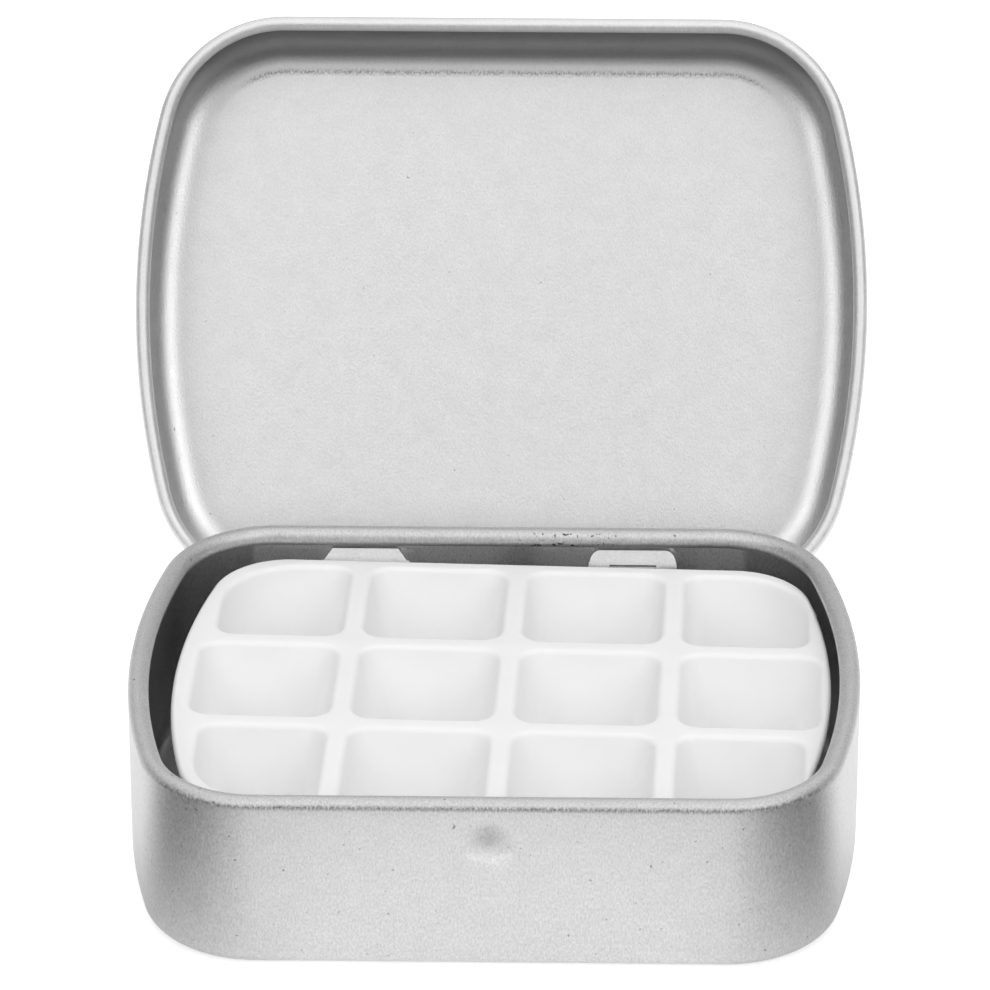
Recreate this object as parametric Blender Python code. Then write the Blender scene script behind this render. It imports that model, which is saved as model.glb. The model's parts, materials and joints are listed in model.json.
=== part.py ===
"""Pocket watercolour tin: hinged tinplate box with a lift-out palette tray of twelve wells.

The tin stands open on its floor, +Z up, with its origin under the middle of the base.
The front is -Y, the hinge side +Y. All sizes are metres, written as millimetres times MM.
"""
import math

import bmesh
import bpy
from mathutils import Matrix, Vector

MM = 0.001

# Tinplate shared by the base and the lid
SHEET = 0.3 * MM
CURL_SWEEP = math.radians(270)

# Base: straight long sides, bowed short ends, rim rolled inwards
BASE_LENGTH = 60.0 * MM
BASE_DEPTH = 46.8 * MM
BASE_HEIGHT = 15.4 * MM
BASE_CORNER_RADIUS = 9.6 * MM
BASE_BOW_RADIUS = 67.7 * MM
FLOOR_EDGE_RADIUS = 1.5 * MM
RIM_CURL_RADIUS = 0.84 * MM

# Lid: slips over the base, rim rolled inwards too
LID_CLEARANCE = 0.4 * MM
LID_CURL_RADIUS = 0.5 * MM
LID_EDGE_RADIUS = 3.2 * MM
LID_OVERLAP = 7.0 * MM
LID_HEADROOM = 0.9 * MM
LID_OPEN_ANGLE = math.radians(118.9)

# Hinge: two tongues of the lid pass through slots in the base's back wall and turn up inside it
HINGE_DROP = 5.2 * MM
HINGE_RELIEF_RISE = 1.25 * MM
HINGE_RELIEF_INSET = 4.0 * MM
TONGUE_SPACING = 22.9 * MM
TONGUE_WIDTH = 7.4 * MM
TONGUE_TIP_WIDTH = 5.6 * MM
TONGUE_SHOULDER = 1.1 * MM
TONGUE_STEP = 0.45 * MM
TONGUE_LEAN = 0.95 * MM
TONGUE_REACH = 3.0 * MM
TONGUE_WINDOW_WIDTH = 4.0 * MM
TONGUE_WINDOW_HEIGHT = 0.5 * MM
TONGUE_WINDOW_FROM_TIP = 1.2 * MM
SLOT_SIDE_CLEARANCE = 0.4 * MM
SLOT_HEIGHT = 3.4 * MM

# Catch: a dimple in the base's front wall and a shallow one in the lid's front skirt
DIMPLE_DROP = 3.6 * MM
DIMPLE_RADIUS = 1.9 * MM
DIMPLE_DEPTH = 0.6 * MM
LID_DIMPLE_RADIUS = 1.5 * MM
LID_DIMPLE_DEPTH = 0.35 * MM

# Tray: moulded in one piece, loose in the base
TRAY_PLAY = 1.24 * MM
TRAY_CORNER_RADIUS = 6.5 * MM
TRAY_DROP = 2.4 * MM
TRAY_FLOOR_GAP = 0.3 * MM
TRAY_WALL = 0.8 * MM
TRAY_PLATE = 1.1 * MM
TRAY_EDGE_RADIUS = 0.25 * MM
TRAY_SHIFT_X = 0.62 * MM
TRAY_SHIFT_Y = 0.2 * MM
TRAY_TURN = math.radians(-2.1)
WELL_COLUMNS = 4
WELL_ROWS = 3
WELL_SPACING = 1.7 * MM
WELL_BORDER_X = 1.25 * MM
WELL_BORDER_Y = 1.0 * MM
WELL_SHIFT_X = 0.42 * MM
WELL_SHIFT_Y = -0.4 * MM
WELL_BOW_SHARE = 0.8

# Well shape, as shares of the well's shorter side
WELL_CORNER_SHARE = 0.15
WELL_TAPER_SHARE = 0.25
WELL_FLOOR_ROUND_SHARE = 0.1
WELL_FLOOR_CORNER_SHARE = 0.05

# Facets
CORNER_STEPS = 6
END_STEPS = 4
CURL_STEPS = 9
FILLET_STEPS = 4
DIMPLE_STEPS = 20
DIMPLE_RINGS = 5
WELL_CORNER_STEPS = 3
OVERSHOOT = 2.0 * MM
SKIN = 0.01 * MM

# Places worked out from the sizes above
RIM_INSET = 2 * RIM_CURL_RADIUS
LID_OFFSET = LID_CLEARANCE + 2 * LID_CURL_RADIUS
LID_TOP_Z = BASE_HEIGHT + LID_HEADROOM + SHEET
LID_RIM_Z = BASE_HEIGHT - LID_OVERLAP
HINGE_Y = BASE_DEPTH / 2 - SHEET / 2
HINGE_Z = BASE_HEIGHT - HINGE_DROP
DIMPLE_Z = BASE_HEIGHT - DIMPLE_DROP
TRAY_INSET = RIM_INSET + TRAY_PLAY
TRAY_FLOOR_Z = SHEET + TRAY_FLOOR_GAP
TRAY_TOP_Z = BASE_HEIGHT - TRAY_DROP
WELL_DEPTH = TRAY_TOP_Z - TRAY_FLOOR_Z - TRAY_WALL


def clear_scene():
    for obj in list(bpy.data.objects):
        bpy.data.objects.remove(obj, do_unlink=True)


def make_material(name, colour, metallic, roughness):
    material = bpy.data.materials.new(name)
    material.use_nodes = True
    shader = material.node_tree.nodes["Principled BSDF"]
    shader.inputs["Base Color"].default_value = (*colour, 1.0)
    shader.inputs["Metallic"].default_value = metallic
    shader.inputs["Roughness"].default_value = roughness
    return material


def add_object(name, bm, material=None):
    """Turn a bmesh into an object with its faces pointing out."""
    bmesh.ops.recalc_face_normals(bm, faces=bm.faces)
    mesh = bpy.data.meshes.new(name)
    bm.to_mesh(mesh)
    bm.free()
    mesh.shade_smooth()
    mesh.set_sharp_from_angle(angle=math.radians(35))
    obj = bpy.data.objects.new(name, mesh)
    bpy.context.scene.collection.objects.link(obj)
    if material:
        mesh.materials.append(material)
    return obj


def add_cutter(name, bm):
    cutter = add_object(name, bm)
    cutter.hide_render = True
    cutter.display_type = "WIRE"
    return cutter


def combine(target, tool, operation):
    modifier = target.modifiers.new(tool.name, "BOOLEAN")
    modifier.operation = operation
    modifier.solver = "EXACT"
    modifier.object = tool


def arc(centre, radius, start, end, steps):
    """Points on a circle from one angle to another, both ends included."""
    points = []
    for i in range(steps + 1):
        angle = start + (end - start) * i / steps
        points.append((centre[0] + radius * math.cos(angle), centre[1] + radius * math.sin(angle)))
    return points


def tin_outline(inset, corner=None):
    """Closed plan outline, moved in from the base's outer wall by inset.

    Each short end is one wide arc, and each corner is an arc tangent to it and to the long side.
    The corner radius follows the inset unless it is given.
    """
    half_length = BASE_LENGTH / 2 - inset
    half_depth = BASE_DEPTH / 2 - inset
    bow = BASE_BOW_RADIUS - inset
    if corner is None:
        corner = BASE_CORNER_RADIUS - inset
    bow_x = half_length - bow
    corner_x = bow_x + math.sqrt((bow - corner) ** 2 - (half_depth - corner) ** 2)
    split = math.atan2(half_depth - corner, corner_x - bow_x)
    quarter = arc((bow_x, 0.0), bow, 0.0, split, END_STEPS)[:-1]
    quarter += arc((corner_x, half_depth - corner), corner, split, math.pi / 2, CORNER_STEPS)
    outline = list(quarter)
    outline += [(-x, y) for x, y in reversed(quarter)]
    outline += [(-x, -y) for x, y in quarter[1:]]
    outline += [(x, -y) for x, y in reversed(quarter[1:])]
    return outline


def loft(bm, rings):
    """Skin a list of equal rings of 3-D points and cap both ends."""
    loops = [[bm.verts.new(point) for point in ring] for ring in rings]
    for lower, upper in zip(loops, loops[1:]):
        for i in range(len(lower)):
            j = (i + 1) % len(lower)
            bm.faces.new((lower[i], lower[j], upper[j], upper[i]))
    bm.faces.new(loops[0])
    bm.faces.new(loops[-1])


def shell_rings(profile, origin=(0.0, 0.0, 0.0)):
    """Rings of a shell whose section is a list of (inset, height) points."""
    rings = []
    for inset, height in profile:
        ring = [(x - origin[0], y - origin[1], height - origin[2]) for x, y in tin_outline(inset)]
        rings.append(ring)
    return rings


def box(bm, low, high, place=Matrix()):
    """Add a box between two corners, given in the coordinates of place."""
    corners = bmesh.ops.create_cube(bm, size=1.0)["verts"]
    for vert in corners:
        for axis in range(3):
            vert.co[axis] = low[axis] if vert.co[axis] < 0 else high[axis]
    bmesh.ops.transform(bm, matrix=place, verts=corners)


def turned(bm, profile, matrix):
    """Turn (radius, height) points round the local Z axis; both ends lie on the axis."""
    bottom = bm.verts.new(matrix @ Vector((0.0, 0.0, profile[0][1])))
    top = bm.verts.new(matrix @ Vector((0.0, 0.0, profile[-1][1])))
    loops = []
    for radius, height in profile[1:-1]:
        loop = []
        for i in range(DIMPLE_STEPS):
            angle = 2 * math.pi * i / DIMPLE_STEPS
            point = Vector((radius * math.cos(angle), radius * math.sin(angle), height))
            loop.append(bm.verts.new(matrix @ point))
        loops.append(loop)
    for i in range(DIMPLE_STEPS):
        j = (i + 1) % DIMPLE_STEPS
        bm.faces.new((bottom, loops[0][j], loops[0][i]))
        for lower, upper in zip(loops, loops[1:]):
            bm.faces.new((lower[i], lower[j], upper[j], upper[i]))
        bm.faces.new((top, loops[-1][i], loops[-1][j]))


def bell_profile(radius, depth, drop, cap):
    """Section of a soft round dent: a cosine bell lowered by drop, closed at height cap."""
    profile = []
    for i in range(DIMPLE_RINGS + 1):
        r = radius * i / DIMPLE_RINGS
        profile.append((r, -drop - depth * (1 + math.cos(math.pi * r / radius)) / 2))
    return profile + [(radius, cap), (0.0, cap)]


def press_dimple(target, name, place, radius, depth):
    """Press a round dimple into a front wall: thicken the wall behind it, then cut the dent.

    The local Z axis of place points out of the wall, from its outer face.
    """
    behind = bmesh.new()
    turned(behind, bell_profile(radius + SHEET, depth, SHEET - SKIN, -SHEET / 2), place)
    backing = add_cutter(name + "_backing", behind)
    dent = bmesh.new()
    turned(dent, bell_profile(radius, depth, -SKIN, OVERSHOOT), place)
    cutter = add_cutter(name + "_dent", dent)
    for tool in (backing, cutter):
        tool.parent = target
    combine(target, backing, "UNION")
    combine(target, cutter, "DIFFERENCE")


def front_place(y, z):
    return Matrix.Translation((0.0, y, z)) @ Matrix.Rotation(math.pi / 2, 4, "X")


def build_base(material):
    """Drawn tin body: floor, walls and a rim rolled inwards, in one sheet."""
    fillet = (FLOOR_EDGE_RADIUS, FLOOR_EDGE_RADIUS)
    curl = (RIM_CURL_RADIUS, BASE_HEIGHT - RIM_CURL_RADIUS)
    curl_end = math.pi - CURL_SWEEP
    profile = arc(fillet, FLOOR_EDGE_RADIUS, -math.pi / 2, -math.pi, FILLET_STEPS)
    profile += arc(curl, RIM_CURL_RADIUS, math.pi, curl_end, CURL_STEPS)
    profile += arc(curl, RIM_CURL_RADIUS - SHEET, curl_end, math.pi, CURL_STEPS)
    profile += arc(fillet, FLOOR_EDGE_RADIUS - SHEET, -math.pi, -math.pi / 2, FILLET_STEPS)
    bm = bmesh.new()
    loft(bm, shell_rings(profile))
    base = add_object("base_tin", bm, material)

    slots = bmesh.new()
    half_slot = TONGUE_WIDTH / 2 + SLOT_SIDE_CLEARANCE
    for side in (-1, 1):
        middle = side * TONGUE_SPACING / 2
        low = (middle - half_slot, HINGE_Y - OVERSHOOT, HINGE_Z - SLOT_HEIGHT / 2)
        high = (middle + half_slot, HINGE_Y + OVERSHOOT, HINGE_Z + SLOT_HEIGHT / 2)
        box(slots, low, high)
    combine(base, add_cutter("hinge_slots", slots), "DIFFERENCE")
    press_dimple(base, "base_catch", front_place(-BASE_DEPTH / 2, DIMPLE_Z), DIMPLE_RADIUS, DIMPLE_DEPTH)
    return base


def tongue_strip(bm, middle_x, skirt_y):
    """One tongue of the closed lid in hinge coordinates: skirt, hinge axis, step inwards, tip.

    The step and the tip are set out as they stand when the lid is open, where the tip leans to the wall.
    """
    closed = Matrix.Rotation(LID_OPEN_ANGLE, 4, "X")
    half_root = TONGUE_WIDTH / 2
    half_tip = TONGUE_TIP_WIDTH / 2
    stations = [(Vector((0.0, skirt_y, HINGE_RELIEF_RISE + SHEET)), half_root)]
    stations.append((Vector((0.0, 0.0, 0.0)), half_root))
    for rise, half_width in ((0.0, half_root), (TONGUE_REACH - TONGUE_SHOULDER, half_root), (TONGUE_REACH, half_tip)):
        inwards = TONGUE_STEP + TONGUE_LEAN * (1.0 - rise / TONGUE_REACH)
        stations.append((closed @ Vector((0.0, -inwards, rise)), half_width))
    points = [point for point, half_width in stations]
    steps = [(after - before).normalized() for before, after in zip(points, points[1:])]
    rings = []
    for i, (point, half_width) in enumerate(stations):
        before = steps[max(i - 1, 0)]
        after = steps[min(i, len(steps) - 1)]
        along = (before + after).normalized()
        across = Vector((0.0, -along.z, along.y)) * (SHEET / 2 / along.dot(after))
        middle = point + Vector((middle_x, 0.0, 0.0))
        side = Vector((half_width, 0.0, 0.0))
        rings.append([middle - side - across, middle + side - across, middle + side + across, middle - side + across])
    loft(bm, rings)


def tongue_window(bm, middle_x):
    """Slit through a tongue, set out as the open lid holds it."""
    high_z = TONGUE_REACH - TONGUE_WINDOW_FROM_TIP
    low = (middle_x - TONGUE_WINDOW_WIDTH / 2, -TONGUE_STEP - TONGUE_LEAN - SHEET, high_z - TONGUE_WINDOW_HEIGHT)
    high = (middle_x + TONGUE_WINDOW_WIDTH / 2, -TONGUE_STEP + SHEET, high_z)
    box(bm, low, high, Matrix.Rotation(LID_OPEN_ANGLE, 4, "X"))


def build_lid(material):
    """Lid drawn like the base, with its origin on the hinge axis and modelled closed, then swung open."""
    origin = (0.0, HINGE_Y, HINGE_Z)
    fillet = (LID_EDGE_RADIUS - LID_OFFSET, LID_TOP_Z - LID_EDGE_RADIUS)
    curl = (LID_CURL_RADIUS - LID_OFFSET, LID_RIM_Z + LID_CURL_RADIUS)
    curl_end = math.pi + CURL_SWEEP
    profile = arc(fillet, LID_EDGE_RADIUS, math.pi / 2, math.pi, FILLET_STEPS)
    profile += arc(curl, LID_CURL_RADIUS, math.pi, curl_end, CURL_STEPS)
    profile += arc(curl, LID_CURL_RADIUS - SHEET, curl_end, math.pi, CURL_STEPS)
    profile += arc(fillet, LID_EDGE_RADIUS - SHEET, math.pi, math.pi / 2, FILLET_STEPS)
    bm = bmesh.new()
    loft(bm, shell_rings(profile, origin))
    lid = add_object("lid", bm, material)
    lid.location = origin

    relief = bmesh.new()
    half_relief = BASE_LENGTH / 2 - HINGE_RELIEF_INSET
    low = (-half_relief, -BASE_CORNER_RADIUS / 2, LID_RIM_Z - HINGE_Z - OVERSHOOT)
    high = (half_relief, LID_OFFSET + OVERSHOOT, HINGE_RELIEF_RISE)
    box(relief, low, high)
    relief_cutter = add_cutter("hinge_relief", relief)

    skirt_y = BASE_DEPTH / 2 + LID_OFFSET - SHEET / 2 - HINGE_Y
    tongues = bmesh.new()
    windows = bmesh.new()
    for side in (-1, 1):
        tongue_strip(tongues, side * TONGUE_SPACING / 2, skirt_y)
        tongue_window(windows, side * TONGUE_SPACING / 2)
    tongue_body = add_cutter("hinge_tongues", tongues)
    window_cutter = add_cutter("tongue_windows", windows)

    for tool in (relief_cutter, tongue_body, window_cutter):
        tool.parent = lid
    combine(lid, relief_cutter, "DIFFERENCE")
    combine(lid, tongue_body, "UNION")
    combine(lid, window_cutter, "DIFFERENCE")
    catch = front_place(-BASE_DEPTH / 2 - LID_OFFSET - HINGE_Y, DIMPLE_Z - HINGE_Z)
    press_dimple(lid, "lid_catch", catch, LID_DIMPLE_RADIUS, LID_DIMPLE_DEPTH)
    lid.rotation_euler = (-LID_OPEN_ANGLE, 0.0, 0.0)
    return lid


def well_plan(column, row):
    """Sides (x0, x1, y0, y1) and corner radii of one well at the tray's top face.

    The radii run anticlockwise from the +X +Y corner; a well in a corner of the tray follows its rounding.
    """
    length = BASE_LENGTH - 2 * (TRAY_INSET + WELL_BORDER_X)
    depth = BASE_DEPTH - 2 * (TRAY_INSET + WELL_BORDER_Y)
    pitch_x = (length + WELL_SPACING) / WELL_COLUMNS
    pitch_y = (depth + WELL_SPACING) / WELL_ROWS
    x0 = WELL_SHIFT_X - length / 2 + column * pitch_x
    y0 = WELL_SHIFT_Y - depth / 2 + row * pitch_y
    x1 = x0 + pitch_x - WELL_SPACING
    y1 = y0 + pitch_y - WELL_SPACING
    middle_y = (y0 + y1) / 2
    bow = BASE_BOW_RADIUS - TRAY_INSET
    bow_drop = WELL_BOW_SHARE * (bow - math.sqrt(bow ** 2 - middle_y ** 2))
    left = column == 0
    right = column == WELL_COLUMNS - 1
    front = row == 0
    back = row == WELL_ROWS - 1
    x0 += bow_drop if left else 0.0
    x1 -= bow_drop if right else 0.0
    outer = TRAY_CORNER_RADIUS
    at_corner = (right and back, left and back, left and front, right and front)
    radii = [outer if corner else WELL_CORNER_SHARE * min(x1 - x0, y1 - y0) for corner in at_corner]
    return (x0, x1, y0, y1), radii


def well_ring(plan, radii, inset, z):
    """Rounded rectangle of a well, moved in by inset, as 3-D points at height z."""
    x0, x1, y0, y1 = plan
    corners = ((x1, y1, -1, -1), (x0, y1, 1, -1), (x0, y0, 1, 1), (x1, y0, -1, 1))
    ring = []
    for i, (x, y, toward_x, toward_y) in enumerate(corners):
        radius = max(radii[i] - inset, WELL_FLOOR_CORNER_SHARE * min(x1 - x0, y1 - y0))
        centre = (x + toward_x * (inset + radius), y + toward_y * (inset + radius))
        start = i * math.pi / 2
        ring += [(px, py, z) for px, py in arc(centre, radius, start, start + math.pi / 2, WELL_CORNER_STEPS)]
    return ring


def well_body(bm, plan, radii, grow, top_z):
    """One tapered cup: a well grown outwards by grow, reaching up to top_z."""
    x0, x1, y0, y1 = plan
    short_side = min(x1 - x0, y1 - y0)
    taper = WELL_TAPER_SHARE * short_side / WELL_DEPTH
    floor_round = WELL_FLOOR_ROUND_SHARE * short_side
    floor_z = TRAY_TOP_Z - WELL_DEPTH - grow
    rings = []
    if top_z > TRAY_TOP_Z:
        rings.append(well_ring(plan, radii, -grow, top_z))
        start_z = TRAY_TOP_Z
    else:
        start_z = top_z
    rings.append(well_ring(plan, radii, (TRAY_TOP_Z - start_z) * taper - grow, start_z))
    for lift, shrink in ((1.0, 0.0), (0.3, 0.3), (0.0, 1.0)):
        z = floor_z + floor_round * lift
        inset = (TRAY_TOP_Z - z) * taper - grow + floor_round * shrink
        rings.append(well_ring(plan, radii, inset, z))
    loft(bm, rings)


def build_tray(material):
    """Moulded palette: a top plate with twelve tapered cups that stand on the base's floor."""
    plate = bmesh.new()
    edge = TRAY_EDGE_RADIUS
    bottom_z = TRAY_TOP_Z - TRAY_PLATE
    profile = [(TRAY_INSET + TRAY_PLATE - edge, bottom_z)]
    profile += arc((TRAY_INSET + edge, TRAY_TOP_Z - edge), edge, math.pi, math.pi / 2, FILLET_STEPS // 2)
    rings = []
    for inset, z in profile:
        corner = TRAY_CORNER_RADIUS - (inset - TRAY_INSET)
        rings.append([(x, y, z) for x, y in tin_outline(inset, corner)])
    loft(plate, rings)
    tray = add_object("palette_tray", plate, material)

    cups = bmesh.new()
    wells = bmesh.new()
    for column in range(WELL_COLUMNS):
        for row in range(WELL_ROWS):
            plan, radii = well_plan(column, row)
            well_body(cups, plan, radii, TRAY_WALL, TRAY_TOP_Z - TRAY_PLATE / 2)
            well_body(wells, plan, radii, 0.0, TRAY_TOP_Z + OVERSHOOT)
    cup_body = add_cutter("tray_cups", cups)
    well_cutter = add_cutter("tray_wells", wells)
    for tool in (cup_body, well_cutter):
        tool.parent = tray
    combine(tray, cup_body, "UNION")
    combine(tray, well_cutter, "DIFFERENCE")
    tray.location = (TRAY_SHIFT_X, TRAY_SHIFT_Y, 0.0)
    tray.rotation_euler = (0.0, 0.0, TRAY_TURN)
    return tray


def main():
    clear_scene()
    build_base(make_material("base_tinplate", (0.62, 0.62, 0.63), 1.0, 0.38))
    build_lid(make_material("lid_tinplate", (0.64, 0.64, 0.65), 1.0, 0.36))
    build_tray(make_material("tray_plastic", (0.9, 0.9, 0.89), 0.0, 0.35))
    bpy.context.view_layer.update()


main()
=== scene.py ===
"""Looks of the pocket watercolour tin: fine tinplate shells, a moulded white tray, studio light, camera."""
import itertools
import json
import math

import bmesh
import bpy
from mathutils import Matrix, Vector


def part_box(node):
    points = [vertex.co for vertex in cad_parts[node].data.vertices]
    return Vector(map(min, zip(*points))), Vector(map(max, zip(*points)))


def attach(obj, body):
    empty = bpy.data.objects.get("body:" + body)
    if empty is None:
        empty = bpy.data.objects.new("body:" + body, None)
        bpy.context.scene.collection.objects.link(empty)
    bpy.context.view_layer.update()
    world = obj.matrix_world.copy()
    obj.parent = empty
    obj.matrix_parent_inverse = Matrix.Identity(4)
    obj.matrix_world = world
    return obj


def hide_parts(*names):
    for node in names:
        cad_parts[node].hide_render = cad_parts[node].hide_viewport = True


MM = 0.001

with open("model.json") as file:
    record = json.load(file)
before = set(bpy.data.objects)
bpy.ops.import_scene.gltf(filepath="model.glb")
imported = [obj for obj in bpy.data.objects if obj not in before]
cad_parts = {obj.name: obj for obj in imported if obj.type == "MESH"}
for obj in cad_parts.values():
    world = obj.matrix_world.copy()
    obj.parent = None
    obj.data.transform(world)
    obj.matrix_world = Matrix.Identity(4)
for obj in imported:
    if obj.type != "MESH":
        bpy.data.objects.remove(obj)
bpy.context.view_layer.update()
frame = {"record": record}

# Sizes and places read from the frame
BASE_LOW, BASE_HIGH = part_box("base_tin")
LID_LOW, LID_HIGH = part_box("lid")
TRAY_LOW, TRAY_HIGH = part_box("palette_tray")
JOINTS = {joint["name"]: joint for joint in frame["record"]["behaviour"]["joints"]}
BASE_LENGTH = BASE_HIGH[0] - BASE_LOW[0]
BASE_DEPTH = BASE_HIGH[1] - BASE_LOW[1]
BASE_HEIGHT = BASE_HIGH[2]
LID_OFFSET = (LID_HIGH[0] - LID_LOW[0] - BASE_LENGTH) / 2
TRAY_TOP_Z = TRAY_HIGH[2]
TRAY_FLOOR_Z = TRAY_LOW[2]
HINGE = Vector(JOINTS["lid_hinge"]["pos_m"])
LID_OPEN_ANGLE = math.radians(JOINTS["lid_hinge"]["range_deg"][1])

# Tinplate
SHEET = 0.3 * MM
CURL_SWEEP = math.radians(270)
BASE_CORNER_RADIUS = 9.6 * MM
BASE_BOW_RADIUS = 67.7 * MM
FLOOR_EDGE_RADIUS = 1.5 * MM
RIM_CURL_RADIUS = 0.84 * MM
LID_CURL_RADIUS = 0.6 * MM
LID_EDGE_RADIUS = 3.2 * MM
LID_INNER_RADIUS = 3.2 * MM
LID_OVERLAP = 7.0 * MM
LID_HEADROOM = 0.9 * MM

# Hinge and catch
HINGE_RELIEF_RISE = 1.25 * MM
HINGE_RELIEF_INSET = 4.0 * MM
TONGUE_SPACING = 22.9 * MM
TONGUE_WIDTH = 7.4 * MM
TONGUE_TIP_WIDTH = 5.6 * MM
TONGUE_SHOULDER = 1.1 * MM
TONGUE_STEP = 0.45 * MM
TONGUE_LEAN = 0.95 * MM
TONGUE_BELLY = 0.25 * MM
TONGUE_REACH = 3.0 * MM
TONGUE_WINDOW_WIDTH = 4.0 * MM
TONGUE_WINDOW_HEIGHTS = (0.5 * MM, 0.25 * MM)
TONGUE_WINDOWS_FROM_TIP = (1.2 * MM, 0.95 * MM)
SLOT_SIDE_CLEARANCE = 0.06 * MM
SLOT_HEIGHT = 3.4 * MM
DIMPLE_DROP = 3.6 * MM
CATCH_HEIGHT = 0.3 * MM
CATCH_HALF_WIDTH = 2.3 * MM
CATCH_ABOVE = 2.9 * MM
CATCH_BELOW = 1.4 * MM
CATCH_UNDER_DIMPLE = 0.9 * MM
CATCH_SHINE = 0.18
LID_DIMPLE_RADIUS = 1.5 * MM
LID_DIMPLE_DEPTH = 0.35 * MM

# Tray
TRAY_PLAY = 1.24 * MM
TRAY_CORNER_RADIUS = 6.5 * MM
TRAY_WALL = 0.8 * MM
TRAY_PLATE = 1.1 * MM
TRAY_EDGE_RADIUS = 0.4 * MM
TRAY_SHIFT = (0.62 * MM, 0.2 * MM)
TRAY_TURN = math.radians(-2.1)
WELL_COLUMNS = 4
WELL_ROWS = 3
WELL_SPACING = 1.7 * MM
WELL_BORDER = (1.25 * MM, 1.0 * MM)
WELL_SHIFT = (0.42 * MM, -0.4 * MM)
WELL_BOW_SHARE = 0.8
WELL_EDGE_RADIUS = 0.55 * MM

# Well shape, as shares of the well's shorter side
WELL_CORNER_SHARE = 0.15
WELL_TAPER_SHARE = 0.25
WELL_FLOOR_ROUND_SHARE = 0.1
WELL_FLOOR_CORNER_SHARE = 0.05

# Camera, fitted to the photograph's outlines
CAMERA_TARGET = Vector((0.04, 0.0, 30.51)) * MM
CAMERA_DISTANCE = 491.2 * MM
CAMERA_ELEVATION = math.radians(27.85)
CAMERA_YAW = math.radians(-0.98)
CAMERA_LENS = 220.6
CAMERA_CLIP_START = 10.0 * MM

# Floor, dimmed beside and ahead of the tin in reflections only
FLOOR_SIZE = 1500.0 * MM
FLOOR_DROP = 0.05 * MM
FLOOR_TONE = 0.85
FLOOR_DIM_TONE = 0.29
FLOOR_GLOW = 0.5
FLOOR_SHIFT = -0.3 * MM
FLOOR_FADE_ASIDE = (15.0 * MM, 46.0 * MM)
FLOOR_FADE_BACK = (-16.5 * MM, -2.5 * MM)
FLOOR_FADE_AHEAD = (55.0 * MM, 83.0 * MM)

# Studio light; the fades are shares of a direction's x, y, z or of its angle to a softbox
SKY_LEVEL = 0.75
SKY_SIDE_LEVEL = 0.16
SKY_SIDE_FADE = (0.5, 0.85)
SKY_BACK_FADE = (0.1, 0.5)
HORIZON_SHARE = 0.15
HORIZON_FADE = (0.0, 0.2)
OVERHEAD_LEVEL = 0.38
OVERHEAD_FADE = (0.6, 0.85)
SOFTBOX_FADE = (0.92, 0.97)
SOFTBOXES = (((0.55, -0.63, 0.55), 1.5), ((-0.47, -0.665, 0.58), 1.2))

# Marks on the tinplate, from 0 to 1; wear and the painted shade on the lid's bend run along the front and
# fade towards the sides; painted light brightens the catch, tongues and inside of the back wall
FRONT_SPANS = {"wear": (19.1 * MM, 20.1 * MM), "bend": (16.0 * MM, 21.5 * MM)}
RIM_WEAR = ((1, 0.4), (2, 1.0), (3, 0.4))
BAND_PAINTED_SHADE = 0.8
INNER_PAINTED_SHADE = 0.33
PAINTED_SHADE_FADE = 0.2
PAINTED_SHADE_TONE = 0.4
PAINTED_LIGHT_TONE = 1.55
TONGUE_PAINTED_LIGHT = 0.25
ROLLED_ROUGHER = 0.15

# Line inside the lid's face: distance past the rounding, wear, painted shade
INNER_LINE = ((0.25 * MM, 0.0, INNER_PAINTED_SHADE), (0.45 * MM, 0.5, INNER_PAINTED_SHADE), (0.6 * MM, 1.0, INNER_PAINTED_SHADE),
              (0.75 * MM, 0.5, 0.17), (1.0 * MM, 0.0, 0.0))

# Chipped stretch of the back rim
CHIPPED = (1.6 * MM, 9.8 * MM)

# Surfaces; a noise is its scale and detail, a spread the part of it that shows
NOISE_SPREAD = (0.3, 0.7)
MOTTLE_NOISE = (520.0, 4.0)
MOTTLE_TONES = (0.97, 1.02)
FLECK_NOISE = (2300.0, 1.0)
FLECK_WIDTH = 0.06
FLECK_TONE = 0.45
CHIP_NOISE = (2600.0, 2.0)
CHIP_SPREAD = (0.6, 0.64)
CHIP_DEPTH = 0.9
WEAR_SPREAD = (0.35, 0.65)
WEAR_DEPTH = 0.6
METAL_ROUGHNESS = (0.33, 0.45)
PLASTIC_TONES = (0.93, 0.95)
PLASTIC_ROUGHNESS = (0.38, 0.5)
BUMP_HEIGHT = 0.02 * MM

# Mesh fineness
CORNER_STEPS = 24
END_STEPS = 14
SIDE_STEPS = 44
SIDE_BUNCHING = 1.5
CURL_STEPS = 28
FILLET_STEPS = 12
WALL_STEPS = 20
DIMPLE_STEP = 0.22 * MM
WELL_CORNER_STEPS = 10
WELL_FILLET_STEPS = 7
OVERSHOOT = 2.0 * MM
SMOOTH_ANGLE = math.radians(40)

# Sizes that follow from those above
RIM_INSET = 2 * RIM_CURL_RADIUS
LID_TOP_Z = BASE_HEIGHT + LID_HEADROOM + SHEET
LID_RIM_Z = BASE_HEIGHT - LID_OVERLAP
DIMPLE_Z = BASE_HEIGHT - DIMPLE_DROP
CATCH_Z = DIMPLE_Z - CATCH_UNDER_DIMPLE
TRAY_INSET = RIM_INSET + TRAY_PLAY
WELL_DEPTH = TRAY_TOP_Z - TRAY_FLOOR_Z - TRAY_WALL


def arc(centre, radius, start, end, steps):
    """Points on a circle from one angle to another, both ends included."""
    points = []
    for i in range(steps + 1):
        angle = start + (end - start) * i / steps
        points.append((centre[0] + radius * math.cos(angle), centre[1] + radius * math.sin(angle)))
    return points


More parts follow.
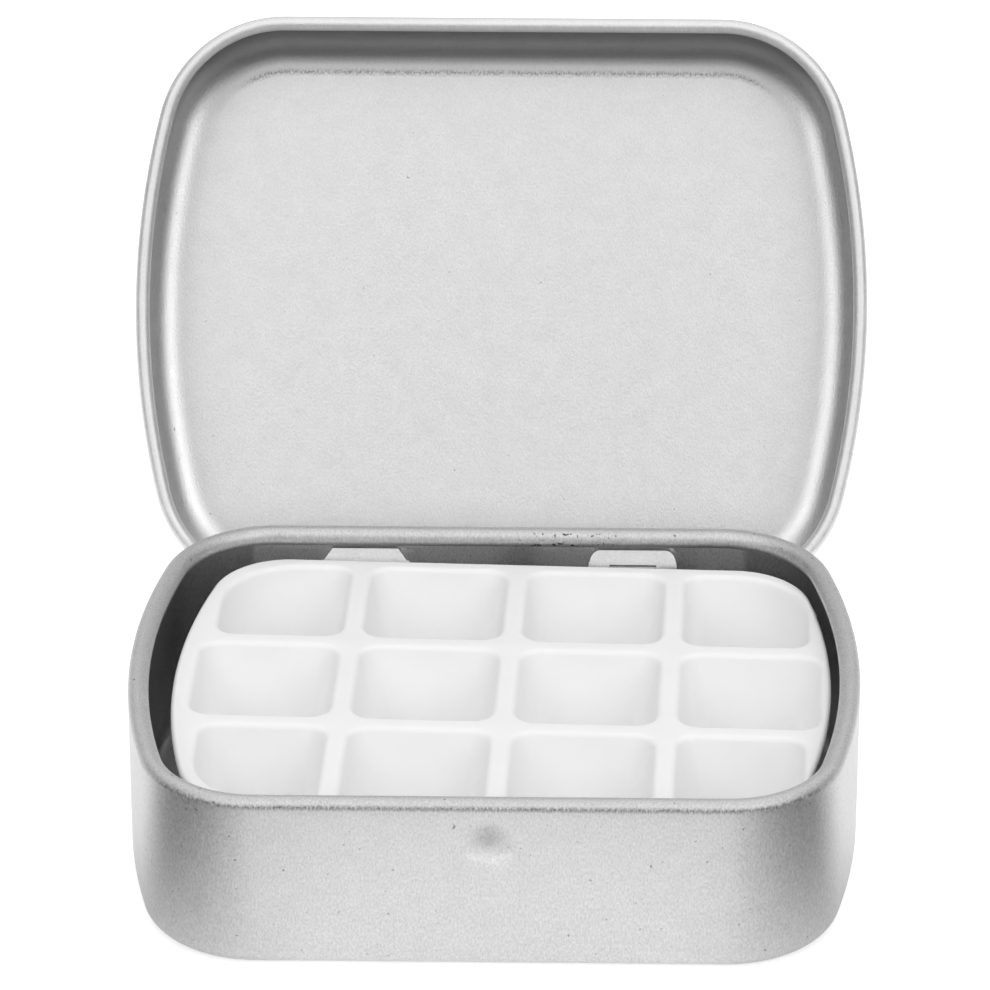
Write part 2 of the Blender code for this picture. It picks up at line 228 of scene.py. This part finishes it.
def tin_outline(inset, corner=None):
    """Closed plan outline, moved in from the base's outer wall by inset, with points bunched mid-side."""
    half_length = BASE_LENGTH / 2 - inset
    half_depth = BASE_DEPTH / 2 - inset
    bow = BASE_BOW_RADIUS - inset
    if corner is None:
        corner = BASE_CORNER_RADIUS - inset
    bow_x = half_length - bow
    corner_x = bow_x + math.sqrt((bow - corner) ** 2 - (half_depth - corner) ** 2)
    split = math.atan2(half_depth - corner, corner_x - bow_x)
    quarter = arc((bow_x, 0.0), bow, 0.0, split, END_STEPS)[:-1]
    quarter += arc((corner_x, half_depth - corner), corner, split, math.pi / 2, CORNER_STEPS)
    for i in range(1, SIDE_STEPS + 1):
        quarter.append((corner_x * (1 - i / SIDE_STEPS) ** SIDE_BUNCHING, half_depth))
    outline = list(quarter)
    outline += [(-x, y) for x, y in reversed(quarter[:-1])]
    outline += [(-x, -y) for x, y in quarter[1:]]
    outline += [(x, -y) for x, y in reversed(quarter[1:-1])]
    return outline


def wall_levels(low, high, dense_middle, dense_half):
    """Heights up a wall, closer together round the catch dimple."""
    levels = [low + (high - low) * i / WALL_STEPS for i in range(1, WALL_STEPS)]
    levels = [z for z in levels if abs(z - dense_middle) > dense_half]
    count = int(2 * dense_half / DIMPLE_STEP)
    levels += [dense_middle - dense_half + 2 * dense_half * i / count for i in range(count + 1)]
    return sorted(z for z in levels if low < z < high)


def loft(bm, rings, cap_start=True, cap_end=True):
    """Skin a list of equal rings of 3-D points; returns the loops of vertices."""
    loops = [[bm.verts.new(point) for point in ring] for ring in rings]
    for lower, upper in zip(loops, loops[1:]):
        for i in range(len(lower)):
            j = (i + 1) % len(lower)
            bm.faces.new((lower[i], lower[j], upper[j], upper[i]))
    if cap_start:
        bm.faces.new(loops[0])
    if cap_end:
        bm.faces.new(loops[-1])
    return loops


def make_piece(name, bm):
    """Turn a bmesh into a linked object."""
    bmesh.ops.recalc_face_normals(bm, faces=bm.faces)
    mesh = bpy.data.meshes.new(name)
    bm.to_mesh(mesh)
    bm.free()
    piece = bpy.data.objects.new(name, mesh)
    bpy.context.scene.collection.objects.link(piece)
    return piece


def finish_mesh(piece, material):
    """Smooth shading with sharp edges kept, and one material."""
    piece.data.shade_smooth()
    piece.data.set_sharp_from_angle(angle=SMOOTH_ANGLE)
    piece.data.materials.clear()
    piece.data.materials.append(material)


def apply_boolean(target, bm, operation):
    """Cut or join a closed tool mesh for good and drop the tool."""
    tool = make_piece(target.name + "_tool", bm)
    modifier = target.modifiers.new("cut", "BOOLEAN")
    modifier.operation = operation
    modifier.solver = "EXACT"
    modifier.object = tool
    bpy.context.view_layer.update()
    depsgraph = bpy.context.evaluated_depsgraph_get()
    mesh = bpy.data.meshes.new_from_object(target.evaluated_get(depsgraph))
    target.modifiers.clear()
    plain = target.data
    target.data = mesh
    mesh.name = target.name
    bpy.data.meshes.remove(plain)
    bpy.data.objects.remove(tool, do_unlink=True)


def box(bm, low, high, place=Matrix()):
    """Add a box between two corners, then move it."""
    corners = bmesh.ops.create_cube(bm, size=1.0)["verts"]
    for vert in corners:
        for axis in range(3):
            vert.co[axis] = low[axis] if vert.co[axis] < 0 else high[axis]
    bmesh.ops.transform(bm, matrix=place, verts=corners)


def bell(distance, radius):
    """Soft round swell, 1 in the middle and 0 from radius outwards."""
    if distance >= radius:
        return 0.0
    return (1 + math.cos(math.pi * distance / radius)) / 2


def front_share(vert, span):
    """1 along the front wall, fading to 0 round the corners."""
    return min(max((-vert.co.y - span[0]) / (span[1] - span[0]), 0.0), 1.0)


def shell(bm, profile, rolled, **front_marks):
    """Loft the outline along a section; mark rolled rings and, along the front, worn ones and ones given
    painted shade.
    """
    rings = [[(x, y, z) for x, y in tin_outline(inset)] for inset, z in profile]
    roll = bm.verts.layers.float.new("rolled")
    layers = {name: bm.verts.layers.float.new(name) for name in front_marks}
    loops = loft(bm, rings)
    for i, loop in enumerate(loops):
        for vert in loop:
            vert[roll] = 1.0 if i in rolled else 0.0
            for name, amounts in front_marks.items():
                vert[layers[name]] = amounts[i] * front_share(vert, FRONT_SPANS[name])
    return loops


def build_base():
    """Drawn box with a rolled rim, a catch pressed out of the front wall and two hinge slots."""
    fillet = (FLOOR_EDGE_RADIUS, FLOOR_EDGE_RADIUS)
    curl = (RIM_CURL_RADIUS, BASE_HEIGHT - RIM_CURL_RADIUS)
    curl_end = math.pi - CURL_SWEEP
    levels = wall_levels(fillet[1], curl[1], CATCH_Z, CATCH_ABOVE)
    profile = arc(fillet, FLOOR_EDGE_RADIUS, -math.pi / 2, -math.pi, FILLET_STEPS)
    profile += [(0.0, z) for z in levels]
    curl_start = len(profile)
    profile += arc(curl, RIM_CURL_RADIUS, math.pi, curl_end, CURL_STEPS)
    profile += arc(curl, RIM_CURL_RADIUS - SHEET, curl_end, math.pi, CURL_STEPS)
    profile += [(SHEET, z) for z in reversed(levels)]
    profile += arc(fillet, FLOOR_EDGE_RADIUS - SHEET, -math.pi, -math.pi / 2, FILLET_STEPS)
    wear = [0.0] * len(profile)
    for step, amount in RIM_WEAR:
        wear[curl_start + step] = amount
    bm = bmesh.new()
    curled = range(curl_start + 1, curl_start + 2 * CURL_STEPS)
    chip = bm.verts.layers.float.new("chip")
    painted_light = bm.verts.layers.float.new("painted_light")
    loops = shell(bm, profile, curled, wear=wear)
    for vert in bm.verts:
        if vert.co.y < 0 and abs(vert.co.x) < CATCH_HALF_WIDTH:
            rise = vert.co.z - CATCH_Z
            reach = CATCH_ABOVE if rise > 0 else CATCH_BELOW
            distance = math.hypot(vert.co.x / CATCH_HALF_WIDTH, rise / reach)
            vert.co.y -= CATCH_HEIGHT * bell(distance, 1.0)
            # Painted highlight: a bright crescent on the catch's lower half
            if rise < 0:
                vert[painted_light] = CATCH_SHINE * bell(2 * abs(distance - 0.5), 1.0)

    # Chips on the inner turn of the back rim
    turned_in = curl_start + CURL_STEPS // 2
    for vert in itertools.chain(*loops[turned_in:turned_in + CURL_STEPS // 3]):
        if vert.co.y > 0 and CHIPPED[0] < vert.co.x < CHIPPED[1]:
            vert[chip] = 1.0

    # Painted light brightens the inside of the back wall; its rings follow both faces of the roll
    inner_wall = curl_start + 2 * (CURL_STEPS + 1)
    for vert in itertools.chain(*loops[inner_wall:inner_wall + len(levels)]):
        if BASE_DEPTH / 2 - vert.co.y < 2 * SHEET:
            vert[painted_light] = 1.0
    base = make_piece("tin_base", bm)

    slots = bmesh.new()
    half_slot = TONGUE_WIDTH / 2 + SLOT_SIDE_CLEARANCE
    for side in (-1, 1):
        middle = side * TONGUE_SPACING / 2
        low = (middle - half_slot, HINGE.y - OVERSHOOT, HINGE.z - SLOT_HEIGHT / 2)
        high = (middle + half_slot, HINGE.y + OVERSHOOT, HINGE.z + SLOT_HEIGHT / 2)
        box(slots, low, high)
    apply_boolean(base, slots, "DIFFERENCE")
    return base


def tongue_strip(bm, middle_x, rounded):
    """One tongue of the closed lid, from the skirt over the hinge axis to a tip that leans to the wall."""
    closed = Matrix.Rotation(LID_OPEN_ANGLE, 4, "X")
    half_root = TONGUE_WIDTH / 2
    half_tip = TONGUE_TIP_WIDTH / 2
    skirt_y = BASE_DEPTH / 2 + LID_OFFSET - SHEET / 2 - HINGE.y
    stations = [(Vector((0.0, skirt_y, HINGE_RELIEF_RISE + SHEET)), half_root)]
    stations.append((Vector((0.0, 0.0, 0.0)), half_root))
    tip = [(0.0, half_root), (TONGUE_REACH / 2, half_root)]
    for i in range(FILLET_STEPS + 1):
        share = i / FILLET_STEPS
        if rounded:
            angle = math.pi / 2 * share
            share = math.sin(angle)
            narrowing = 1 - math.cos(angle)
        else:
            narrowing = share
        rise = TONGUE_REACH - TONGUE_SHOULDER * (1 - share)
        tip.append((rise, half_root - (half_root - half_tip) * narrowing))
    for rise, half_width in tip:
        inwards = TONGUE_STEP + TONGUE_LEAN * (1 - rise / TONGUE_REACH)
        inwards += TONGUE_BELLY * min(rise, TONGUE_REACH - rise) / (TONGUE_REACH / 2)
        stations.append((closed @ Vector((0.0, -inwards, rise)), half_width))
    points = [point for point, half_width in stations]
    steps = [(after - before).normalized() for before, after in zip(points, points[1:])]
    rings = []
    for i, (point, half_width) in enumerate(stations):
        before = steps[max(i - 1, 0)]
        after = steps[min(i, len(steps) - 1)]
        along = (before + after).normalized()
        across = Vector((0.0, -along.z, along.y)) * (SHEET / 2 / along.dot(after))
        middle = HINGE + point + Vector((middle_x, 0.0, 0.0))
        side = Vector((half_width, 0.0, 0.0))
        inner = [middle - side - across, middle + side - across]
        outer = [middle + side + across, middle - side + across]
        rings.append(inner + outer)
    loft(bm, rings)


def add_tongues(lid):
    """Two bent tongues, each with a slit; the right one has rounded shoulders."""
    tongues = bmesh.new()
    windows = bmesh.new()
    closed = Matrix.Translation(HINGE) @ Matrix.Rotation(LID_OPEN_ANGLE, 4, "X")
    for side, from_tip, height in zip((-1, 1), TONGUE_WINDOWS_FROM_TIP, TONGUE_WINDOW_HEIGHTS):
        middle_x = side * TONGUE_SPACING / 2
        high_z = TONGUE_REACH - from_tip
        tongue_strip(tongues, middle_x, side > 0)
        low = (middle_x - TONGUE_WINDOW_WIDTH / 2, -TONGUE_STEP - TONGUE_LEAN - 2 * SHEET, high_z - height)
        high = (middle_x + TONGUE_WINDOW_WIDTH / 2, -TONGUE_STEP + SHEET, high_z)
        box(windows, low, high, closed)
    apply_boolean(lid, tongues, "UNION")
    apply_boolean(lid, windows, "DIFFERENCE")


def build_lid():
    """Modelled closed over the base, then swung open about the hinge axis."""
    fillet = (LID_EDGE_RADIUS - LID_OFFSET, LID_TOP_Z - LID_EDGE_RADIUS)
    curl = (LID_CURL_RADIUS - LID_OFFSET, LID_RIM_Z + LID_CURL_RADIUS)
    curl_end = math.pi + CURL_SWEEP
    levels = wall_levels(curl[1], fillet[1], DIMPLE_Z, LID_DIMPLE_RADIUS)
    profile = arc(fillet, LID_EDGE_RADIUS, math.pi / 2, math.pi, FILLET_STEPS)
    profile += [(-LID_OFFSET, z) for z in reversed(levels)]
    profile += arc(curl, LID_CURL_RADIUS, math.pi, curl_end, CURL_STEPS)
    profile += arc(curl, LID_CURL_RADIUS - SHEET, curl_end, math.pi, CURL_STEPS)
    curled = range(len(profile) - 2 * CURL_STEPS, len(profile) - 2)
    bend = [0.0] * len(profile)
    levels = [z for z in levels if z < LID_TOP_Z - SHEET - LID_INNER_RADIUS]
    profile += [(SHEET - LID_OFFSET, z) for z in levels]
    inside = (SHEET - LID_OFFSET + LID_INNER_RADIUS, LID_TOP_Z - SHEET - LID_INNER_RADIUS)
    profile += arc(inside, LID_INNER_RADIUS, math.pi, math.pi / 2, FILLET_STEPS)
    # Painted shade darkens the inner skirt and rounding along the lid's front
    bend += [BAND_PAINTED_SHADE] * len(levels)
    bend += [min(INNER_PAINTED_SHADE + (1 - i / FILLET_STEPS) / PAINTED_SHADE_FADE, 1.0) for i in range(FILLET_STEPS + 1)]
    wear = [0.0] * len(profile)
    for beyond, worn, shaded in INNER_LINE:
        profile.append((inside[0] + beyond, LID_TOP_Z - SHEET))
        wear.append(worn)
        bend.append(shaded)
    bm = bmesh.new()
    shell(bm, profile, curled, wear=wear, bend=bend)
    for vert in bm.verts:
        if vert.co.y < 0 and abs(vert.co.x) < LID_DIMPLE_RADIUS:
            distance = math.hypot(vert.co.x, vert.co.z - DIMPLE_Z)
            vert.co.y += LID_DIMPLE_DEPTH * bell(distance, LID_DIMPLE_RADIUS)
    lid = make_piece("tin_lid", bm)

    relief = bmesh.new()
    half_relief = BASE_LENGTH / 2 - HINGE_RELIEF_INSET
    low = (-half_relief, HINGE.y - BASE_CORNER_RADIUS / 2, LID_RIM_Z - OVERSHOOT)
    high = (half_relief, HINGE.y + LID_OFFSET + OVERSHOOT, HINGE.z + HINGE_RELIEF_RISE)
    box(relief, low, high)
    apply_boolean(lid, relief, "DIFFERENCE")
    add_tongues(lid)
    swing = Matrix.Translation(HINGE) @ Matrix.Rotation(-LID_OPEN_ANGLE, 4, "X") @ Matrix.Translation(-HINGE)
    lid.data.transform(swing)
    # Painted light brightens the tongues
    marks = lid.data.attributes.new("painted_light", "FLOAT", "POINT").data
    for vert, painted_light in zip(lid.data.vertices, marks):
        painted_light.value = TONGUE_PAINTED_LIGHT if vert.co.y < HINGE.y - SHEET else 0.0
    return lid


def well_plan(column, row):
    """Sides (x0, x1, y0, y1) and corner radii of one well at the tray's top face."""
    length = BASE_LENGTH - 2 * (TRAY_INSET + WELL_BORDER[0])
    depth = BASE_DEPTH - 2 * (TRAY_INSET + WELL_BORDER[1])
    pitch_x = (length + WELL_SPACING) / WELL_COLUMNS
    pitch_y = (depth + WELL_SPACING) / WELL_ROWS
    x0 = WELL_SHIFT[0] - length / 2 + column * pitch_x
    y0 = WELL_SHIFT[1] - depth / 2 + row * pitch_y
    x1 = x0 + pitch_x - WELL_SPACING
    y1 = y0 + pitch_y - WELL_SPACING
    bow = BASE_BOW_RADIUS - TRAY_INSET
    bow_drop = WELL_BOW_SHARE * (bow - math.sqrt(bow ** 2 - ((y0 + y1) / 2) ** 2))
    left = column == 0
    right = column == WELL_COLUMNS - 1
    front = row == 0
    back = row == WELL_ROWS - 1
    x0 += bow_drop if left else 0.0
    x1 -= bow_drop if right else 0.0
    at_corner = (right and back, left and back, left and front, right and front)
    small = WELL_CORNER_SHARE * min(x1 - x0, y1 - y0)
    radii = [TRAY_CORNER_RADIUS if corner else small for corner in at_corner]
    return (x0, x1, y0, y1), radii


def well_ring(plan, radii, inset, z):
    """Rounded rectangle inside a well's plan, moved in by inset."""
    x0, x1, y0, y1 = plan
    smallest = WELL_FLOOR_CORNER_SHARE * min(x1 - x0, y1 - y0)
    corners = ((x1, y1, -1, -1), (x0, y1, 1, -1), (x0, y0, 1, 1), (x1, y0, -1, 1))
    ring = []
    for i, (x, y, toward_x, toward_y) in enumerate(corners):
        radius = max(radii[i] - inset, smallest)
        centre = (x + toward_x * (inset + radius), y + toward_y * (inset + radius))
        start = i * math.pi / 2
        turn = arc(centre, radius, start, start + math.pi / 2, WELL_CORNER_STEPS)
        ring += [(px, py, z) for px, py in turn]
    return ring


def well_rings(plan, radii):
    """Inside of a well: rounded edge, sloping wall, rounded floor."""
    short_side = min(plan[1] - plan[0], plan[3] - plan[2])
    taper = WELL_TAPER_SHARE * short_side / WELL_DEPTH
    turn = math.pi / 2 - math.atan(taper)
    drop = 1 - math.cos(turn)
    reach = math.sin(turn)
    edge = WELL_EDGE_RADIUS
    floor = WELL_FLOOR_ROUND_SHARE * short_side
    edge_inset = drop * edge * taper - reach * edge
    floor_inset = (WELL_DEPTH - drop * floor) * taper + reach * floor
    rings = []
    for i in range(WELL_FILLET_STEPS + 1):
        angle = turn * i / WELL_FILLET_STEPS
        z = TRAY_TOP_Z - edge * (1 - math.cos(angle))
        rings.append(well_ring(plan, radii, edge_inset + edge * math.sin(angle), z))
    for i in range(WELL_FILLET_STEPS + 1):
        angle = turn * (1 - i / WELL_FILLET_STEPS)
        z = TRAY_TOP_Z - WELL_DEPTH + floor * (1 - math.cos(angle))
        rings.append(well_ring(plan, radii, floor_inset - floor * math.sin(angle), z))
    return rings


def cup_rings(plan, radii):
    """Outside of a well's cup, from inside the plate to its rounded foot."""
    short_side = min(plan[1] - plan[0], plan[3] - plan[2])
    taper = WELL_TAPER_SHARE * short_side / WELL_DEPTH
    turn = math.pi / 2 - math.atan(taper)
    floor = WELL_FLOOR_ROUND_SHARE * short_side
    rings = [well_ring(plan, radii, TRAY_PLATE / 2 * taper - TRAY_WALL, TRAY_TOP_Z - TRAY_PLATE / 2)]
    foot_depth = TRAY_TOP_Z - TRAY_FLOOR_Z - (1 - math.cos(turn)) * floor
    floor_inset = foot_depth * taper - TRAY_WALL + math.sin(turn) * floor
    for i in range(WELL_FILLET_STEPS + 1):
        angle = turn * (1 - i / WELL_FILLET_STEPS)
        z = TRAY_FLOOR_Z + floor * (1 - math.cos(angle))
        rings.append(well_ring(plan, radii, floor_inset - floor * math.sin(angle), z))
    return rings


def build_tray():
    """Moulded plate with a rounded edge, twelve cups under it and their wells cut with rounded mouths."""
    plate = bmesh.new()
    edge = TRAY_EDGE_RADIUS
    profile = [(TRAY_INSET + TRAY_PLATE - edge, TRAY_TOP_Z - TRAY_PLATE)]
    profile += arc((TRAY_INSET + edge, TRAY_TOP_Z - edge), edge, math.pi, math.pi / 2, FILLET_STEPS)
    rings = []
    for inset, z in profile:
        corner = TRAY_CORNER_RADIUS - (inset - TRAY_INSET)
        rings.append([(x, y, z) for x, y in tin_outline(inset, corner)])
    loft(plate, rings)
    tray = make_piece("paint_tray", plate)
    cups = bmesh.new()
    wells = bmesh.new()
    for column in range(WELL_COLUMNS):
        for row in range(WELL_ROWS):
            plan, radii = well_plan(column, row)
            loft(cups, cup_rings(plan, radii))
            inside = well_rings(plan, radii)
            mouth = [(x, y, TRAY_TOP_Z + OVERSHOOT) for x, y, z in inside[0]]
            loft(wells, [mouth] + inside)
    apply_boolean(tray, cups, "UNION")
    apply_boolean(tray, wells, "DIFFERENCE")
    place = Matrix.Translation((TRAY_SHIFT[0], TRAY_SHIFT[1], 0.0)) @ Matrix.Rotation(TRAY_TURN, 4, "Z")
    tray.data.transform(place)
    return tray


def new_material(name):
    """A material, its node tree and its surface shader."""
    material = bpy.data.materials.new(name)
    material.use_nodes = True
    tree = material.node_tree
    return material, tree, tree.nodes["Principled BSDF"]


def add_node(tree, kind, **values):
    """Add a node; keys are its attributes, or input sockets written with spaces as underscores."""
    node = tree.nodes.new(kind)
    for key, value in values.items():
        if hasattr(node, key):
            setattr(node, key, value)
        else:
            node.inputs[key.replace("_", " ")].default_value = value
    return node


def ramp(tree, source, low, high, out_low, out_high):
    """Map low to high onto out_low to out_high, held at both ends."""
    node = add_node(tree, "ShaderNodeMapRange", From_Min=low, From_Max=high, To_Min=out_low, To_Max=out_high)
    tree.links.new(source, node.inputs["Value"])
    return node.outputs["Result"]


def math_node(tree, operation, first, second):
    """One operation on two values, each a number or a socket."""
    node = tree.nodes.new("ShaderNodeMath")
    node.operation = operation
    for socket, value in zip(node.inputs, (first, second)):
        if isinstance(value, (int, float)):
            socket.default_value = value
        else:
            tree.links.new(value, socket)
    return node.outputs["Value"]


def grey_colour(tree, level):
    """The same level in all three channels."""
    colour = tree.nodes.new("ShaderNodeCombineColor")
    for channel in ("Red", "Green", "Blue"):
        tree.links.new(level, colour.inputs[channel])
    return colour.outputs["Color"]


def mark(tree, name):
    """A mark stored on the mesh, 0 where it has none."""
    node = tree.nodes.new("ShaderNodeAttribute")
    node.attribute_name = name
    return node.outputs["Fac"]


# The rolled tone factor is painted light: it lightens the rolled beads of the rims
def tinplate(name, grey, grain_depth, fleck_from, rolled_painted_light):
    """Satin tinplate: streaky fine grain, faint mottling, dark flecks, worn lines and chips, with painted
    shade along the lid's front bend and painted light on the rolled beads, catch, tongues and inside of the
    back wall.
    """
    material, tree, shader = new_material(name)
    links = tree.links
    place = tree.nodes.new("ShaderNodeTexCoord").outputs["Object"]
    streaks = add_node(tree, "ShaderNodeMapping", Scale=(1.0, 1.0, 0.5))
    links.new(place, streaks.inputs["Vector"])
    grain = add_node(tree, "ShaderNodeTexNoise", Scale=6500.0, Detail=2.0, Roughness=0.6)
    links.new(streaks.outputs["Vector"], grain.inputs["Vector"])
    grain = grain.outputs["Fac"]
    noises = []
    for scale, detail in (MOTTLE_NOISE, FLECK_NOISE, CHIP_NOISE):
        noise = add_node(tree, "ShaderNodeTexNoise", Scale=scale, Detail=detail, Roughness=0.6)
        links.new(place, noise.inputs["Vector"])
        noises.append(noise.outputs["Fac"])
    mottle, fleck, chips = noises
    worn = math_node(tree, "MULTIPLY", mark(tree, "wear"), ramp(tree, grain, *WEAR_SPREAD, WEAR_DEPTH, 0.0))
    chips = ramp(tree, chips, *CHIP_SPREAD, 0.0, CHIP_DEPTH)
    chipped = math_node(tree, "MULTIPLY", mark(tree, "chip"), chips)
    tone = ramp(tree, grain, *NOISE_SPREAD, grey * (1 - grain_depth), grey * (1 + grain_depth))
    # Painted shade darkens along the lid's front bend; painted light lightens the catch, tongues, inside of
    # the back wall and rolled beads
    for factor in (ramp(tree, mottle, *NOISE_SPREAD, *MOTTLE_TONES),
                   ramp(tree, fleck, fleck_from, fleck_from + FLECK_WIDTH, 1.0, FLECK_TONE),
                   ramp(tree, mark(tree, "bend"), 0.0, 1.0, 1.0, PAINTED_SHADE_TONE),
                   ramp(tree, mark(tree, "painted_light"), 0.0, 1.0, 1.0, PAINTED_LIGHT_TONE),
                   ramp(tree, mark(tree, "rolled"), 0.0, 1.0, 1.0, rolled_painted_light),
                   math_node(tree, "SUBTRACT", 1.0, worn),
                   math_node(tree, "SUBTRACT", 1.0, chipped)):
        tone = math_node(tree, "MULTIPLY", tone, factor)
    links.new(grey_colour(tree, tone), shader.inputs["Base Color"])
    rough = math_node(tree, "ADD", ramp(tree, grain, *NOISE_SPREAD, *METAL_ROUGHNESS),
                      math_node(tree, "MULTIPLY", mark(tree, "rolled"), ROLLED_ROUGHER))
    links.new(rough, shader.inputs["Roughness"])
    bump = add_node(tree, "ShaderNodeBump", Strength=1.0, Distance=BUMP_HEIGHT)
    links.new(grain, bump.inputs["Height"])
    links.new(bump.outputs["Normal"], shader.inputs["Normal"])
    shader.inputs["Metallic"].default_value = 1.0
    return material


def white_plastic(name):
    """Moulded white polystyrene, slightly translucent, with a faint satin texture."""
    material, tree, shader = new_material(name)
    links = tree.links
    place = tree.nodes.new("ShaderNodeTexCoord").outputs["Object"]
    cloud = add_node(tree, "ShaderNodeTexNoise", Scale=300.0, Detail=3.0)
    grain = add_node(tree, "ShaderNodeTexNoise", Scale=3500.0, Detail=2.0)
    for texture in (cloud, grain):
        links.new(place, texture.inputs["Vector"])
    tone = ramp(tree, cloud.outputs["Fac"], *NOISE_SPREAD, *PLASTIC_TONES)
    links.new(grey_colour(tree, tone), shader.inputs["Base Color"])
    rough = ramp(tree, grain.outputs["Fac"], *NOISE_SPREAD, *PLASTIC_ROUGHNESS)
    links.new(rough, shader.inputs["Roughness"])
    bump = add_node(tree, "ShaderNodeBump", Strength=0.08, Distance=BUMP_HEIGHT)
    links.new(grain.outputs["Fac"], bump.inputs["Height"])
    links.new(bump.outputs["Normal"], shader.inputs["Normal"])
    shader.inputs["Subsurface Weight"].default_value = 0.15
    shader.inputs["Subsurface Radius"].default_value = (1.0, 1.0, 1.0)
    shader.inputs["Subsurface Scale"].default_value = 1.0 * MM
    shader.inputs["Specular IOR Level"].default_value = 0.35
    return material


def build_floor():
    """Pale floor, white to the camera; reflections see it dim beside and ahead of the tin."""
    bm = bmesh.new()
    bmesh.ops.create_grid(bm, x_segments=1, y_segments=1, size=FLOOR_SIZE)
    bm.transform(Matrix.Translation((0.0, 0.0, -FLOOR_DROP)))
    floor = make_piece("floor", bm)
    material, tree, shader = new_material("floor_white")
    parts = tree.nodes.new("ShaderNodeSeparateXYZ")
    tree.links.new(tree.nodes.new("ShaderNodeTexCoord").outputs["Object"], parts.inputs["Vector"])
    aside = math_node(tree, "ABSOLUTE", math_node(tree, "ADD", parts.outputs["X"], FLOOR_SHIFT), 0.0)
    beside = math_node(tree, "MULTIPLY", ramp(tree, aside, *FLOOR_FADE_ASIDE, 0.0, 1.0),
                       ramp(tree, parts.outputs["Y"], *FLOOR_FADE_BACK, 1.0, 0.0))
    forward = math_node(tree, "MULTIPLY", parts.outputs["Y"], -1.0)
    ahead = ramp(tree, forward, *FLOOR_FADE_AHEAD, 0.0, 1.0)
    dimmed = math_node(tree, "MAXIMUM", beside, ahead)
    rays = tree.nodes.new("ShaderNodeLightPath").outputs
    mirrored = math_node(tree, "MULTIPLY", dimmed, rays["Is Glossy Ray"])
    tone = ramp(tree, mirrored, 0.0, 1.0, FLOOR_TONE, FLOOR_DIM_TONE)
    tree.links.new(grey_colour(tree, tone), shader.inputs["Base Color"])
    shader.inputs["Roughness"].default_value = 0.9
    shader.inputs["Specular IOR Level"].default_value = 0.0
    shader.inputs["Emission Color"].default_value = (1.0, 1.0, 1.0, 1.0)
    seen = math_node(tree, "MAXIMUM", rays["Is Camera Ray"], rays["Is Glossy Ray"])
    seen = math_node(tree, "MAXIMUM", seen, rays["Is Transmission Ray"])
    seen = math_node(tree, "SUBTRACT", seen, mirrored)
    tree.links.new(math_node(tree, "MULTIPLY", seen, FLOOR_GLOW), shader.inputs["Emission Strength"])
    floor.data.materials.append(material)


def build_light():
    """Bright studio, darker beside the tin, with an overhead panel and two front softboxes."""
    world = bpy.data.worlds.new("studio")
    bpy.context.scene.world = world
    world.use_nodes = True
    tree = world.node_tree
    background = tree.nodes["Background"]
    direction = tree.nodes.new("ShaderNodeTexCoord").outputs["Generated"]
    parts = tree.nodes.new("ShaderNodeSeparateXYZ")
    tree.links.new(direction, parts.inputs["Vector"])
    side = math_node(tree, "ABSOLUTE", parts.outputs["X"], 0.0)
    shade = math_node(tree, "MULTIPLY", ramp(tree, side, *SKY_SIDE_FADE, 0.0, 1.0),
                      ramp(tree, parts.outputs["Y"], *SKY_BACK_FADE, 1.0, 0.0))
    level = ramp(tree, shade, 0.0, 1.0, SKY_LEVEL, SKY_SIDE_LEVEL)
    horizon = ramp(tree, parts.outputs["Z"], *HORIZON_FADE, HORIZON_SHARE, 1.0)
    overhead = ramp(tree, parts.outputs["Z"], *OVERHEAD_FADE, 0.0, OVERHEAD_LEVEL)
    level = math_node(tree, "MULTIPLY", level, horizon)
    level = math_node(tree, "ADD", level, overhead)
    for softbox, strength in SOFTBOXES:
        toward = tree.nodes.new("ShaderNodeVectorMath")
        toward.operation = "DOT_PRODUCT"
        tree.links.new(direction, toward.inputs[0])
        toward.inputs[1].default_value = softbox
        glow = ramp(tree, toward.outputs["Value"], *SOFTBOX_FADE, 0.0, strength)
        level = math_node(tree, "ADD", level, glow)
    tree.links.new(grey_colour(tree, level), background.inputs["Color"])


def build_camera():
    """Camera on a line through its target, turned and raised as fitted."""
    forward = Vector((math.sin(CAMERA_YAW) * math.cos(CAMERA_ELEVATION),
                      math.cos(CAMERA_YAW) * math.cos(CAMERA_ELEVATION),
                      -math.sin(CAMERA_ELEVATION)))
    data = bpy.data.cameras.new("camera")
    data.lens = CAMERA_LENS
    data.clip_start = CAMERA_CLIP_START
    camera = bpy.data.objects.new("camera", data)
    camera.location = CAMERA_TARGET - forward * CAMERA_DISTANCE
    camera.rotation_euler = forward.to_track_quat("-Z", "Y").to_euler()
    bpy.context.scene.collection.objects.link(camera)
    bpy.context.scene.camera = camera


build_camera()
build_light()
build_floor()
base_metal = tinplate("satin_tinplate_base", grey=0.61, grain_depth=0.16, fleck_from=0.73, rolled_painted_light=1.02)
lid_metal = tinplate("satin_tinplate_lid", grey=0.7, grain_depth=0.06, fleck_from=0.78, rolled_painted_light=1.12)
plastic = white_plastic("white_plastic")
for builder, material, node, body, slot in (
        (build_base, base_metal, "base_tin", "base", "base_tinplate"),
        (build_lid, lid_metal, "lid", "lid", "lid_tinplate"),
        (build_tray, plastic, "palette_tray", "tray", "tray_plastic")):
    piece = builder()
    finish_mesh(piece, material)
    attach(piece, body)
    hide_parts(node)
bpy.context.scene.view_settings.view_transform = "Standard"
